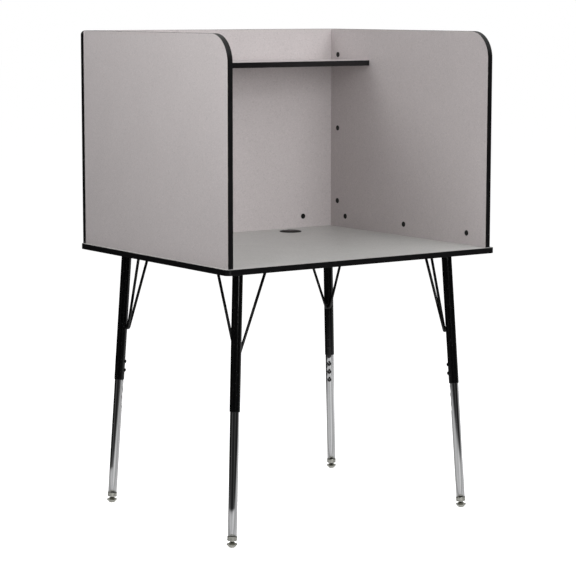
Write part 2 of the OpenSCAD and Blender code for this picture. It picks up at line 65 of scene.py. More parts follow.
CORNERS = ("front_left", "front_right", "back_left", "back_right")
JOINTS = {joint["name"]: joint for joint in frame["joints"]}
MM = 0.001

# Height holes: steps of travel up and down, and how many holes the lower tube has
STEPS_EACH_WAY = 4
HOLE_COUNT = 10


# ---- Reading the frame ----

def points_of(node):
    """Every vertex of a CAD node, in the row frame."""
    return [vertex.co.copy() for vertex in frame["nodes"][node].data.vertices]


def mean_of(points):
    """Middle of a list of points."""
    return sum(points, Vector()) / len(points)


def slot_of(node):
    """Name of the record's material slot for a CAD node."""
    for part in frame["record"]["subparts"]:
        if part["node"] == node:
            return part["material_slot"]
    raise ValueError(node)


class Leg:
    """Axis and sizes of one leg. Lengths run down the axis from the underside of the mounting plate."""

    def __init__(self, corner):
        self.corner = corner
        tilt = JOINTS[corner + "_glide_tilt"]
        slide = JOINTS[corner + "_leg_height"]
        self.down = Vector(slide["axis"]).normalized()
        foot = Vector(tilt["pos_m"])
        self.plate_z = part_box(corner + "_leg_plate")[0].z
        self.top = foot + self.down * ((self.plate_z - foot.z) / self.down.z)
        screws = [self.split(point) for point in points_of(corner + "_height_screws")]
        self.inward = mean_of([across for _, across in screws]).normalized()
        self.side = self.down.cross(self.inward)
        lengths = [along for along, _ in screws]
        self.screw_middle = (min(lengths) + max(lengths)) / 2
        tube = [self.split(point) for point in points_of(corner + "_lower_leg")]
        self.lower_start = min(along for along, _ in tube)
        self.lower_end = max(along for along, _ in tube)
        self.lower_radius = max(across.length for _, across in tube)
        upper = [self.split(point) for point in points_of(corner + "_upper_leg")]
        self.upper_radius = max(across.length for _, across in upper)
        self.hole_pitch = slide["range_m"][1] / STEPS_EACH_WAY

    def split(self, point):
        """Distance of a point down the leg, and its offset square to the leg."""
        along = (point - self.top).dot(self.down)
        return along, point - self.top - self.down * along

    def at(self, along, radius, turn):
        """Point down the leg at a radius and a turn, counted from the side facing the desk's middle."""
        spoke = self.inward * math.cos(turn) + self.side * math.sin(turn)
        return self.top + self.down * along + spoke * radius


LEGS = [Leg(corner) for corner in CORNERS]


# ---- Mesh helpers ----

def make_piece(name, mesh_data, body, slot):
    """Smooth object for a finished bmesh, riding on a body, with the finish of a record slot."""
    bmesh.ops.recalc_face_normals(mesh_data, faces=mesh_data.faces)
    mesh = bpy.data.meshes.new(name)
    mesh_data.to_mesh(mesh)
    mesh_data.free()
    for polygon in mesh.polygons:
        polygon.use_smooth = True
    piece = bpy.data.objects.new(name, mesh)
    bpy.context.scene.collection.objects.link(piece)
    mesh.materials.append(MATERIALS[slot])
    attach(piece, body)
    return piece


def ring_of_verts(mesh_data, points):
    """One closed ring of new vertices."""
    return [mesh_data.verts.new(point) for point in points]


def bridge(mesh_data, ring_a, ring_b):
    """Quads between two closed rings of the same count."""
    count = len(ring_a)
    for i in range(count):
        j = (i + 1) % count
        mesh_data.faces.new((ring_a[i], ring_a[j], ring_b[j], ring_b[i]))


# ---- Brace rods ----

ROD_SIDES = 28
ROD_BEND_STEPS = 20
# Radius of the bend's centre line
ROD_BEND_RADIUS = 7.5 * MM
# Points this close to a rod's highest one lie on its flat ends
ON_PLANE = 0.05 * MM


def brace_shape(corner):
    """Ends, lowest point and radius of a brace, read from its CAD node."""
    node = corner + "_brace"
    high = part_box(node)[1]
    points = points_of(node)
    rim = [p for p in points if p.z > high.z - ON_PLANE]
    leg = next(leg for leg in LEGS if leg.corner == corner)
    across = Vector((0, 0, 1)).cross(leg.inward).normalized()
    split = mean_of(rim).dot(across)
    clusters = [[p for p in rim if sign * (p.dot(across) - split) > 0] for sign in (-1, 1)]
    ends = [mean_of(cluster) for cluster in clusters]
    radius = min((p - ends[0]).length for p in clusters[0])
    middle = (ends[0] + ends[1]) / 2
    lowest = max(points, key=lambda p: (p - middle).length)
    return ends, lowest, radius


def brace_path(ends, lowest, radius):
    """Centre line of a brace: one straight stretch, the bend and the other stretch."""
    middle = (ends[0] + ends[1]) / 2
    fall = (lowest - middle).normalized()
    centre = lowest - fall * (ROD_BEND_RADIUS + radius)
    across = ends[1] - ends[0]
    across = (across - fall * across.dot(fall)).normalized()
    turns = []
    for end, sign in zip(ends, (1, -1)):
        arm = end - centre
        swing = math.acos(ROD_BEND_RADIUS / arm.length)
        turns.append(math.atan2(arm.dot(across), arm.dot(fall)) + sign * swing)
    path = [ends[0]]
    for step in range(ROD_BEND_STEPS + 1):
        turn = turns[0] + (turns[1] - turns[0]) * step / ROD_BEND_STEPS
        path.append(centre + (across * math.sin(turn) + fall * math.cos(turn)) * ROD_BEND_RADIUS)
    path.append(ends[1])
    return path, across.cross(fall)


def brace_rod(corner):
    """Smooth bent rod in the place of a CAD brace, cut off flush with its mounting plate."""
    ends, lowest, radius = brace_shape(corner)
    path, normal = brace_path(ends, lowest, radius)
    mesh_data = bmesh.new()
    last = len(path) - 1
    rings = []
    for index, centre in enumerate(path):
        before = path[max(index - 1, 0)]
        after = path[min(index + 1, last)]
        if index == 1:
            before, after = path[0], path[1]
        if index == last - 1:
            before, after = path[last - 1], path[last]
        way = (after - before).normalized()
        side = normal.cross(way)
        ring = []
        for k in range(ROD_SIDES):
            turn = 2 * math.pi * k / ROD_SIDES
            point = centre + (side * math.cos(turn) + normal * math.sin(turn)) * radius
            if index in (0, last):
                point = point + way * ((ends[0].z - point.z) / way.z)
            ring.append(point)
        rings.append(ring_of_verts(mesh_data, ring))
    for ring_a, ring_b in zip(rings, rings[1:]):
        bridge(mesh_data, ring_a, ring_b)
    mesh_data.faces.new(rings[0])
    mesh_data.faces.new(rings[-1])
    rod = make_piece(corner + "_brace_rod", mesh_data, "carrel", "black_paint")
    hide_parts(corner + "_brace")
    return ends, path[len(path) // 2], radius


# ---- Weld beads ----

BEAD_STEPS = 72
BEAD_SIDES = 10
BEAD_RADIUS_TUBE = 2.3 * MM
BEAD_RADIUS_ROD = 1.5 * MM
# Ripples of a bead: their share of its radius, how many there are and how unevenly they follow
BEAD_WAVE = 0.14
BEAD_WAVES_PER_MM = 0.42
BEAD_UNEVENNESS = 0.9

# Beads in the two notches between a rod's bend and the tube. Each lies this far above the bend, into the
# tube and, as a share of the rod's radius, aside. The lower its fullness, the blunter its ends.
NOTCH_BEAD_STEPS = 14
NOTCH_BEAD_SIDES = 12
NOTCH_BEAD_HALF_LENGTH = 9 * MM
NOTCH_BEAD_RADIUS = 2.6 * MM
NOTCH_BEAD_TIP = 0.05 * MM
NOTCH_BEAD_ABOVE_BEND = 4 * MM
NOTCH_BEAD_INTO_TUBE = 0.35 * MM
NOTCH_BEAD_ASIDE = 0.95
NOTCH_BEAD_FULLNESS = 0.6
NOTCH_BEAD_RIPPLE = 13


def bead_ring(mesh_data, centres, bead_radius, outward):
    """Closed rippled bead whose centre line runs through the given points."""
    count = len(centres)
    length = sum((centres[i] - centres[i - 1]).length for i in range(count))
    waves = round(length / MM * BEAD_WAVES_PER_MM)
    rings = []
    for i, centre in enumerate(centres):
        way = (centres[(i + 1) % count] - centres[i - 1]).normalized()
        out = outward(i)
        up = way.cross(out).normalized()
        phase = 2 * math.pi * waves * i / count + math.sin(BEAD_UNEVENNESS * i)
        ripple = 1 + BEAD_WAVE * math.sin(phase)
        ring = []
        for k in range(BEAD_SIDES):
            turn = 2 * math.pi * k / BEAD_SIDES
            ring.append(centre + (out * math.cos(turn) + up * math.sin(turn)) * bead_radius * ripple)
        rings.append(ring_of_verts(mesh_data, ring))
    for i in range(count):
        bridge(mesh_data, rings[i - 1], rings[i])


def collar_bead(mesh_data, centre, way, tube_radius, bead_radius, plate_z):
    """Bead round a tube or rod where it meets the underside of its plate."""
    first = way.orthogonal().normalized()
    second = way.cross(first)
    spokes = []
    centres = []
    for i in range(BEAD_STEPS):
        turn = 2 * math.pi * i / BEAD_STEPS
        spoke = first * math.cos(turn) + second * math.sin(turn)
        point = centre + spoke * tube_radius
        centres.append(point + way * ((plate_z - point.z) / way.z))
        spokes.append(spoke)
    bead_ring(mesh_data, centres, bead_radius, lambda i: spokes[i])


def bend_bead(mesh_data, leg, bottom, rod_radius, sign):
    """Lens of weld metal on one side of the brace's bend, in the notch between the rod and the tube."""
    along, offset = leg.split(bottom)
    outward = offset.normalized()
    aside = leg.down.cross(offset).normalized()
    depth = leg.upper_radius - NOTCH_BEAD_INTO_TUBE
    shift = sign * rod_radius * NOTCH_BEAD_ASIDE
    rows = []
    for i in range(NOTCH_BEAD_STEPS + 1):
        share = i / NOTCH_BEAD_STEPS
        swell = math.sin(math.pi * share) ** NOTCH_BEAD_FULLNESS
        ripple = 1 + BEAD_WAVE * math.sin(NOTCH_BEAD_RIPPLE * share + sign)
        radius = max(NOTCH_BEAD_RADIUS * swell * ripple, NOTCH_BEAD_TIP)
        reach = along - NOTCH_BEAD_HALF_LENGTH * (1 - 2 * share) - NOTCH_BEAD_ABOVE_BEND
        centre = leg.top + leg.down * reach + outward * depth + aside * shift
        ring = []
        for k in range(NOTCH_BEAD_SIDES):
            turn = 2 * math.pi * k / NOTCH_BEAD_SIDES
            ring.append(centre + (outward * math.cos(turn) + aside * math.sin(turn)) * radius)
        rows.append(ring_of_verts(mesh_data, ring))
    for row_a, row_b in zip(rows, rows[1:]):
        bridge(mesh_data, row_a, row_b)
    mesh_data.faces.new(rows[0])
    mesh_data.faces.new(rows[-1])


def weld_beads(leg, ends, bottom, rod_radius):
    """All weld beads of one leg as one piece: tube to plate, rod ends to plate and rod bend to tube."""
    mesh_data = bmesh.new()
    collar_bead(mesh_data, leg.top, leg.down, leg.upper_radius, BEAD_RADIUS_TUBE, leg.plate_z)
    for end in ends:
        way = (bottom - end).normalized()
        collar_bead(mesh_data, end, way, rod_radius, BEAD_RADIUS_ROD, leg.plate_z)
    for sign in (-1, 1):
        bend_bead(mesh_data, leg, bottom, rod_radius, sign)
    make_piece(leg.corner + "_weld_beads", mesh_data, "carrel", "black_paint")


# ---- Lower tubes with pressed, drilled dimples ----

TUBE_WALL = 1.5 * MM
HOLE_RADIUS = 3.6 * MM
DIMPLE_HALF_WIDTH = 7.6 * MM
DIMPLE_HALF_HEIGHT = 11.6 * MM
DIMPLE_DEPTH = 2.4 * MM
# The higher, the more a dimple narrows towards its middle
DIMPLE_POWER = 1.6

# Mesh of a tube: a finer patch about each hole, and plain rows and columns elsewhere
PATCH_HALF_WIDTH = 10.5 * MM
PATCH_SEGMENTS = 14
PATCH_RINGS = 8
BACK_SEGMENTS = 40
END_ROWS = 3
NEAR = 0.1 * MM
# Places that agree to this many digits of a millimetre share a vertex
PLACE_DIGITS = 4


def dimple_depth(sideways, lengthways):
    """How far the tube's wall is pressed in, at a place measured from the middle of a hole."""
    spread = (sideways / DIMPLE_HALF_WIDTH) ** 2 + (lengthways / DIMPLE_HALF_HEIGHT) ** 2
    if spread >= 1:
        return 0.0
    return DIMPLE_DEPTH * (1 - spread) ** DIMPLE_POWER


class TubeSkin:
    """One skin, outer or inner, of a dimpled tube, with shared vertices at the same place."""

    def __init__(self, mesh_data, leg, radius, holes):
        self.mesh_data = mesh_data
        self.leg = leg
        self.radius = radius
        self.holes = holes
        self.known = {}

    def vert(self, sideways, along):
        """Vertex at a distance round the tube (measured at the outer skin) and down the leg."""
        around = 2 * math.pi * self.leg.lower_radius
        sideways = (sideways + around / 2) % around - around / 2
        key = (round(sideways / MM, PLACE_DIGITS), round(along / MM, PLACE_DIGITS))
        if key not in self.known:
            nearest = min(self.holes, key=lambda hole: abs(hole - along))
            depth = dimple_depth(sideways, along - nearest)
            turn = sideways / self.leg.lower_radius
            self.known[key] = self.mesh_data.verts.new(self.leg.at(along, self.radius - depth, turn))
        return self.known[key]

    def quad(self, corners):
        """Face between places of this skin."""
        self.mesh_data.faces.new([self.vert(*corner) for corner in corners])


def patch_border(middle, half_height):
    """Places round the border of the rectangle about a hole, in order."""
    border = []
    corners = [(-1, -1), (1, -1), (1, 1), (-1, 1)]
    for (x0, y0), (x1, y1) in zip(corners, corners[1:] + corners[:1]):
        for i in range(PATCH_SEGMENTS):
            share = i / PATCH_SEGMENTS
            x = x0 + (x1 - x0) * share
            y = y0 + (y1 - y0) * share
            border.append((x * PATCH_HALF_WIDTH, middle + y * half_height))
    return border


def hole_patch(skin, middle, half_height):
    """Faces from the rectangle's border in to the hole's rim. Returns the rim's vertices."""
    border = patch_border(middle, half_height)
    rings = []
    for step in range(PATCH_RINGS + 1):
        share = step / PATCH_RINGS
        ring = []
        for x, y in border:
            turn = math.atan2(y - middle, x)
            rim_x = HOLE_RADIUS * math.cos(turn)
            rim_y = middle + HOLE_RADIUS * math.sin(turn)
            ring.append((x + (rim_x - x) * share, y + (rim_y - y) * share))
        rings.append(ring)
    count = len(border)
    for outer, inner in zip(rings, rings[1:]):
        for i in range(count):
            j = (i + 1) % count
            skin.quad((outer[i], outer[j], inner[j], inner[i]))
    return [skin.vert(*place) for place in rings[-1]]


def tube_skin(mesh_data, leg, radius, holes):
    """One whole skin of a lower tube. Returns its hole rims and its two end rings."""
    skin = TubeSkin(mesh_data, leg, radius, holes)
    half = leg.hole_pitch / 2
    first, last = holes[0] - half, holes[-1] + half
    rows = [leg.lower_start + (first - leg.lower_start) * i / END_ROWS for i in range(END_ROWS)]
    for hole in holes:
        rows += [hole - half + 2 * half * i / PATCH_SEGMENTS for i in range(PATCH_SEGMENTS)]
    rows += [last + (leg.lower_end - last) * i / END_ROWS for i in range(END_ROWS + 1)]
    around = 2 * math.pi * leg.lower_radius
    front = [PATCH_HALF_WIDTH * (2 * i / PATCH_SEGMENTS - 1) for i in range(PATCH_SEGMENTS)]
    gap = around - 2 * PATCH_HALF_WIDTH
    back = [PATCH_HALF_WIDTH + gap * i / BACK_SEGMENTS for i in range(BACK_SEGMENTS + 1)]
    for low, high in zip(rows, rows[1:]):
        columns = back
        if low < first - NEAR or low > last - NEAR:
            columns = front + back
        for left, right in zip(columns, columns[1:]):
            skin.quad(((left, low), (right, low), (right, high), (left, high)))
    rims = [hole_patch(skin, hole, half) for hole in holes]
    ends = []
    for along in (rows[0], rows[-1]):
        ends.append([skin.vert(column, along) for column in (front + back)[:-1]])
    return rims, ends


def lower_tube(leg):
    """Chrome lower tube with a row of pressed dimples, each with its height hole."""
    offsets = [leg.hole_pitch * (i - (HOLE_COUNT - 1) / 2) for i in range(HOLE_COUNT)]
    holes = [leg.screw_middle + offset for offset in offsets]
    mesh_data = bmesh.new()
    outer_rims, outer_ends = tube_skin(mesh_data, leg, leg.lower_radius, holes)
    inner_rims, inner_ends = tube_skin(mesh_data, leg, leg.lower_radius - TUBE_WALL, holes)
    for outer, inner in zip(outer_rims + outer_ends, inner_rims + inner_ends):
        bridge(mesh_data, outer, inner)
    tube = make_piece(leg.corner + "_lower_tube", mesh_data, leg.corner + "_lower_leg", "chrome_tube")
    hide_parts(leg.corner + "_lower_leg")


# ---- Materials ----

# Arrises are found where a rounded normal leaves the true one: how many rays round it, and the cosines
# between the two at which wear starts and is full
ARRIS_SAMPLES = 4
ARRIS_STARTS = 0.995
ARRIS_FULL = 0.85


class Shader:
    """Node tree of one material or world, with short calls for the nodes that the finishes share."""

    def __init__(self, owner, place="Object"):
        owner.use_nodes = True
        self.material = owner
        self.tree = owner.node_tree
        self.surface = self.tree.nodes.get("Principled BSDF")
        self.place = self.add("TexCoord").outputs[place]

    def put(self, node, socket, value):
        """Links or sets one input of a node."""
        if isinstance(value, bpy.types.NodeSocket):
            self.tree.links.new(value, node.inputs[socket])
        else:
            node.inputs[socket].default_value = value

    def add(self, kind, inputs=None, **settings):
        """New node of a kind, with its settings and inputs."""
        node = self.tree.nodes.new("ShaderNode" + kind)
        for key, value in settings.items():
            setattr(node, key, value)
        for socket, value in (inputs or {}).items():
            self.put(node, socket, value)
        return node

    def math(self, operation, a, b):
        """One arithmetic step."""
        return self.add("Math", {0: a, 1: b}, operation=operation).outputs[0]

    def total(self, *values):
        """Sum of values."""
        result = values[0]
        for value in values[1:]:
            result = self.math("ADD", result, value)
        return result

    def dot(self, a, b):
        """Dot product of two vectors."""
        node = self.add("VectorMath", {0: a, 1: b}, operation="DOT_PRODUCT")
        return node.outputs["Value"]

    def stretched(self, factors):
        """Object place scaled along each axis."""
        node = self.add("Mapping", {"Vector": self.place, "Scale": factors})
        return node.outputs["Vector"]

    def noise(self, size, detail=2.0, roughness=0.5, place=None):
        """Soft noise from 0 to 1 with features of a size in metres."""
        inputs = {"Vector": place or self.place, "Scale": 1 / size}
        inputs.update({"Detail": detail, "Roughness": roughness})
        return self.add("TexNoise", inputs).outputs[0]

    def cells(self, size):
        """A random value from 0 to 1 for each cell of a size in metres."""
        voronoi = self.add("TexVoronoi", {"Vector": self.place, "Scale": 1 / size})
        return self.add("SeparateColor", {0: voronoi.outputs["Color"]}).outputs[0]

    def ramp(self, value, low, high, out_low=0.0, out_high=1.0):
        """Value taken from one range to another, held at the ends."""
        inputs = {0: value, 1: low, 2: high, 3: out_low, 4: out_high}
        return self.add("MapRange", inputs).outputs[0]

    def around(self, value, spread):
        """Value from 0 to 1 turned into a share that varies about 0 by half the spread."""
        return self.math("MULTIPLY", self.math("SUBTRACT", value, 0.5), spread)

    def blend(self, share, colour_a, colour_b):
        """Colour between two colours."""
        node = self.add("Mix", data_type="RGBA")
        self.put(node, 0, share)
        self.put(node, 6, colour_a)
        self.put(node, 7, colour_b)
        return node.outputs[2]

    def scaled(self, colour, share):
        """A colour made lighter or darker by a value."""
        if not isinstance(colour, bpy.types.NodeSocket):
            colour = colour[:3]
        node = self.add("VectorMath", {0: colour, "Scale": share}, operation="SCALE")
        return node.outputs[0]

    def edge(self, reach):
        """1 on the arrises of a piece and 0 away from them, over a reach in metres."""
        bevel = self.add("Bevel", {"Radius": reach}, samples=ARRIS_SAMPLES).outputs[0]
        normal = self.add("NewGeometry").outputs["Normal"]
        return self.ramp(self.dot(bevel, normal), ARRIS_STARTS, ARRIS_FULL)

    def bump(self, height, depth, strength=1.0, normal=None):
        """Normal for a height from 0 to 1 over a depth in metres."""
        inputs = {"Height": height, "Distance": depth, "Strength": strength}
        if normal is not None:
            inputs["Normal"] = normal
        return self.add("Bump", inputs).outputs[0]

    def link(self, output, node, socket):
        """Joins an output to an input."""
        self.tree.links.new(output, node.inputs[socket])

    def finish(self, **sockets):
        """Sets the surface's inputs. An underscore stands for a space in a socket's name."""
        for name, value in sockets.items():
            self.put(self.surface, name.replace("_", " "), value)
        return self.material


def colour(red, green, blue):
    """Opaque colour."""
    return (red, green, blue, 1.0)


WHITE = colour(1.0, 1.0, 1.0)
PANEL_GREY = colour(0.575, 0.535, 0.536)
DESK_GREY = colour(0.514, 0.516, 0.501)

# Two shades that each finish wanders between, and the colours of its rubs, dust and pits
TAPE_SHADES = (colour(0.0031, 0.0030, 0.0033), colour(0.0054, 0.0052, 0.0056))
TAPE_RUB = colour(0.05, 0.048, 0.047)
PLASTIC_SHADES = (colour(0.0035, 0.0035, 0.0035), colour(0.0065, 0.0064, 0.0063))
PLASTIC_RUB = colour(0.06, 0.058, 0.056)
ENAMEL_SHADES = (colour(0.0014, 0.0014, 0.0015), colour(0.0028, 0.0027, 0.0028))
ENAMEL_RUB = colour(0.05, 0.05, 0.052)
ENAMEL_DUST = colour(0.03, 0.03, 0.03)
CHROME_SHADES = (colour(0.60, 0.605, 0.615), colour(0.70, 0.70, 0.705))
CHROME_PIT = colour(0.26, 0.25, 0.24)
NICKEL_SHADES = (colour(0.505, 0.505, 0.46), colour(0.62, 0.62, 0.565))
ZINC_SHADES = (colour(0.46, 0.47, 0.48), colour(0.60, 0.61, 0.62))
STEEL_SHADES = (colour(0.14, 0.14, 0.135), colour(0.22, 0.22, 0.21))

# Laminate: sizes of its layers, and the cell values between which a blot turns light or dark
GRAIN_SIZE = 1.3 * MM
BLOT_SIZE = 3.4 * MM
CLOUD_SIZE = 5.5 * MM
PATCH_SIZE = 110 * MM
LIGHT_BLOTS = (0.86, 0.90)
DARK_BLOTS = (0.10, 0.14)
CUT_EDGE_GAIN = 1.25


def laminate(name, tint, fleck_contrast):
    """Matt decorative laminate: mid-grey with fine light and dark flecks and a faint cloud."""
    shader = Shader(bpy.data.materials.new(name))
    # Each layer changes the brightness by up to the share that it is given
    grain = shader.around(shader.cells(GRAIN_SIZE), 0.20 * fleck_contrast)
    blots = shader.cells(BLOT_SIZE)
    light = shader.ramp(blots, *LIGHT_BLOTS, 0.0, 0.10 * fleck_contrast)
    dark = shader.ramp(blots, *DARK_BLOTS, -0.13 * fleck_contrast, 0.0)
    cloud = shader.noise(CLOUD_SIZE, detail=3)
    broad = shader.noise(PATCH_SIZE, detail=1)
    shade = shader.total(
        1.0,
        grain,
        light,
        dark,
        shader.around(cloud, 0.16 * fleck_contrast),
        shader.around(broad, 0.05),
    )
    base = shader.scaled(tint, shade)
    # The laminate's cut edges show a little lighter where they are rubbed
    rub = shader.math("MULTIPLY", shader.edge(0.8 * MM), shader.noise(9 * MM, detail=3))
    pale = colour(*(min(1.0, channel * CUT_EDGE_GAIN) for channel in tint[:3]))
    base = shader.blend(shader.math("MULTIPLY", rub, 0.5), base, pale)
    smear = shader.noise(60 * MM, detail=4, roughness=0.6)
    roughness = shader.total(0.46, shader.around(smear, 0.14), shader.around(grain, 0.2))
    texture = shader.noise(0.7 * MM, detail=2)
    normal = shader.bump(texture, 0.05 * MM, 0.6)
    normal = shader.bump(cloud, 0.06 * MM, 0.5, normal)
    return shader.finish(
        Base_Color=base, Roughness=roughness, Normal=normal, Specular_IOR_Level=0.38,
    )


def edge_tape(name):
    """Satin black edge tape, with a trimmed grain along its length and light rubs on its corners."""
    shader = Shader(bpy.data.materials.new(name))
    fine = shader.noise(0.5 * MM, detail=2)
    haze = shader.noise(24 * MM, detail=4, roughness=0.6)
    rub = shader.math("MULTIPLY", shader.edge(0.7 * MM), shader.ramp(haze, 0.45, 0.75))
    base = shader.blend(haze, *TAPE_SHADES)
    base = shader.blend(shader.math("MULTIPLY", rub, 0.6), base, TAPE_RUB)
    roughness = shader.total(0.33, shader.around(haze, 0.16), shader.around(fine, 0.10))
    normal = shader.bump(fine, 0.04 * MM, 0.5)
    return shader.finish(
        Base_Color=base, Roughness=roughness, Normal=normal, Specular_IOR_Level=0.45,
    )


def black_plastic(name):
    """Moulded black plastic with a fine spark-eroded grain."""
    shader = Shader(bpy.data.materials.new(name))
    grain = shader.noise(0.45 * MM, detail=1)
    haze = shader.noise(14 * MM, detail=3)
    rub = shader.math("MULTIPLY", shader.edge(0.5 * MM), haze)
    base = shader.blend(haze, *PLASTIC_SHADES)
    base = shader.blend(shader.math("MULTIPLY", rub, 0.5), base, PLASTIC_RUB)
    roughness = shader.total(0.48, shader.around(haze, 0.12), shader.around(grain, 0.14))
    normal = shader.bump(grain, 0.07 * MM, 0.7)
    return shader.finish(
        Base_Color=base, Roughness=roughness, Normal=normal, Specular_IOR_Level=0.25,
    )


def black_paint(name):
    """Gloss black enamel with orange peel, a few specks of dust and rubbed arrises."""
    shader = Shader(bpy.data.materials.new(name))
    peel = shader.noise(2.6 * MM, detail=1)
    dust = shader.ramp(shader.cells(1.6 * MM), 0.985, 0.99)
    haze = shader.noise(40 * MM, detail=4, roughness=0.6)
    rub = shader.math("MULTIPLY", shader.edge(0.5 * MM), shader.ramp(haze, 0.5, 0.7))
    base = shader.blend(haze, *ENAMEL_SHADES)
    base = shader.blend(shader.math("MULTIPLY", dust, 0.5), base, ENAMEL_DUST)
    base = shader.blend(shader.math("MULTIPLY", rub, 0.4), base, ENAMEL_RUB)
    roughness = shader.total(0.17, shader.around(haze, 0.10), shader.math("MULTIPLY", dust, 0.3))
    normal = shader.bump(peel, 0.035 * MM, 0.5)
    return shader.finish(
        Base_Color=base, Roughness=roughness, Normal=normal, Specular_IOR_Level=0.32,
        Coat_Weight=0.2, Coat_Roughness=0.06,
    )


def chrome(name):
    """Bright chrome plate: polishing lines along the tube, faint smears and pitting."""
    shader = Shader(bpy.data.materials.new(name))
    lines = shader.noise(0.8 * MM, detail=2, place=shader.stretched((1.0, 1.0, 0.04)))
    smear = shader.noise(28 * MM, detail=5, roughness=0.6)
    pits = shader.ramp(shader.cells(0.9 * MM), 0.985, 0.995)
    base = shader.blend(smear, *CHROME_SHADES)
    base = shader.blend(shader.math("MULTIPLY", pits, 0.18), base, CHROME_PIT)
    haze = shader.ramp(smear, 0.45, 0.8, 0.0, 0.07)
    roughness = shader.total(0.03, haze, shader.math("MULTIPLY", pits, 0.15))
    normal = shader.bump(lines, 0.012 * MM, 0.35)
    return shader.finish(Base_Color=base, Roughness=roughness, Normal=normal, Metallic=1.0)


def satin_metal(name, shades, rough, spangle):
    """Plated steel with a satin or spangled surface and darker tarnish in patches."""
    shader = Shader(bpy.data.materials.new(name))
    grain = shader.cells(spangle)
    haze = shader.noise(6 * MM, detail=4, roughness=0.6)
    base = shader.blend(haze, *shades)
    tarnish = shader.ramp(haze, 0.30, 0.45, -0.12, 0.0)
    base = shader.scaled(base, shader.total(1.0, shader.around(grain, 0.10), tarnish))
    roughness = shader.total(rough, shader.around(haze, 0.16), shader.around(grain, 0.06))
    normal = shader.bump(shader.noise(0.35 * MM, detail=2), 0.02 * MM, 0.5)
    return shader.finish(Base_Color=base, Roughness=roughness, Normal=normal, Metallic=1.0)


MATERIALS = {
    "laminate_board": laminate("speckled_laminate", PANEL_GREY, fleck_contrast=0.5),
    "edge_band": edge_tape("black_edge_tape"),
    "black_plastic": black_plastic("moulded_black_plastic"),
    "black_paint": black_paint("gloss_black_enamel"),
    "chrome_tube": chrome("bright_chrome"),
    "nickel": satin_metal("satin_nickel", NICKEL_SHADES, rough=0.30, spangle=0.9 * MM),
    "zinc_fastener": satin_metal("zinc_plate", ZINC_SHADES, rough=0.36, spangle=1.4 * MM),
}
STEM_STEEL = satin_metal("dull_steel", STEEL_SHADES, rough=0.36, spangle=0.8 * MM)
DESK_LAMINATE = laminate("smooth_desk_laminate", DESK_GREY, fleck_contrast=0.7)


def paint_cad_nodes():
    """Gives every CAD node the material of its slot.

    The desk's laminate is smoother than the panels', and the threaded stems are duller than the glides.
    """
    for name, node in frame["nodes"].items():
        material = MATERIALS[slot_of(name)]
        if name == "desk_top":
            material = DESK_LAMINATE
        if name.endswith("glide_stem"):
            material = STEM_STEEL
        if not node.material_slots:
            node.data.materials.append(material)
        for material_slot in node.material_slots:
            material_slot.material = material


# ---- Stage, light and camera ----

FLOOR_SIZE = 80.0
FLOOR_GLOW = 1.0
FLOOR_DARKEST = colour(0.9, 0.9, 0.9)
FLOOR_MOTTLE = 0.4

# What mirror-like pieces see: painted pools of light on the floor, a bright one under the object and a
# dimmer one to its right, and a dark room. Each pool is its middle, radius and brightness. The higher
# POOL_EDGE, the sharper the pools end.
PAINTED_POOLS = (
    ((0.42, 0.03, 0.0), 1.25, 0.60),
    ((3.0, -0.2, 0.0), 1.8, 0.55),
)
POOL_EDGE = 13
ROOM_BRIGHTNESS = 0.02
CEILING_BRIGHTNESS = 0.6
# Heights, on a sphere of radius 1, at which the ceiling begins and is at its full brightness
CEILING_LOW = 0.20
CEILING_FULL = 0.55

# Painted streaks of light and shade that mirrors see on the floor: azimuth, half width, gain and added brightness
PAINTED_STREAKS = (
    (math.radians(-20), math.radians(11), 0.65, 0.05),
    (math.radians(-92), math.radians(9), 0.0, 0.10),
    (math.radians(31), math.radians(10), -0.42, 0.0),
    (math.radians(-150), math.radians(30), -0.35, 0.0),
)
# A streak has its full strength over its half width divided by this
STREAK_SHARPNESS = 3


def direction(azimuth, elevation):
    """Unit direction seen from the object. Azimuth 0 is the front and grows to the right."""
    return Vector((
        math.sin(azimuth) * math.cos(elevation),
        -math.cos(azimuth) * math.cos(elevation),
        math.sin(elevation),
    ))


def painted_floor_reflection(shader):
    """Painted reflection: the floor's glow as mirror-like pieces see it, in pools and streaks."""
    painted_pools = ROOM_BRIGHTNESS
    # Painted pools of light, glowing on the floor for mirror rays only
    for middle, radius, strength in PAINTED_POOLS:
        reach = shader.add("VectorMath", {0: shader.place, 1: middle}, operation="DISTANCE")
        fall = shader.math("POWER", shader.math("DIVIDE", reach.outputs["Value"], radius), POOL_EDGE)
        pool = shader.math("DIVIDE", strength, shader.math("ADD", fall, 1))
        painted_pools = shader.math("ADD", painted_pools, pool)
    # The painted streaks depend only on the heading of the ray over the ground
    incoming = shader.add("NewGeometry").outputs["Incoming"]
    level = shader.add("VectorMath", {0: incoming, 1: (-1.0, -1.0, 0.0)}, operation="MULTIPLY")
    heading = shader.add("VectorMath", {0: level.outputs["Vector"]}, operation="NORMALIZE")
    gain, painted_glare = 1.0, 0.0
    for azimuth, half_width, share, added in PAINTED_STREAKS:
        toward = direction(azimuth, 0)
        facing = shader.dot(heading.outputs["Vector"], toward)
        streak = shader.ramp(facing, math.cos(half_width), math.cos(half_width / STREAK_SHARPNESS))
        gain = shader.math("ADD", gain, shader.math("MULTIPLY", streak, share))
        # Painted highlight: brightness added inside a streak
        painted_glare = shader.math("ADD", painted_glare, shader.math("MULTIPLY", streak, added))
    return shader.math("ADD", shader.math("MULTIPLY", painted_pools, gain), painted_glare)


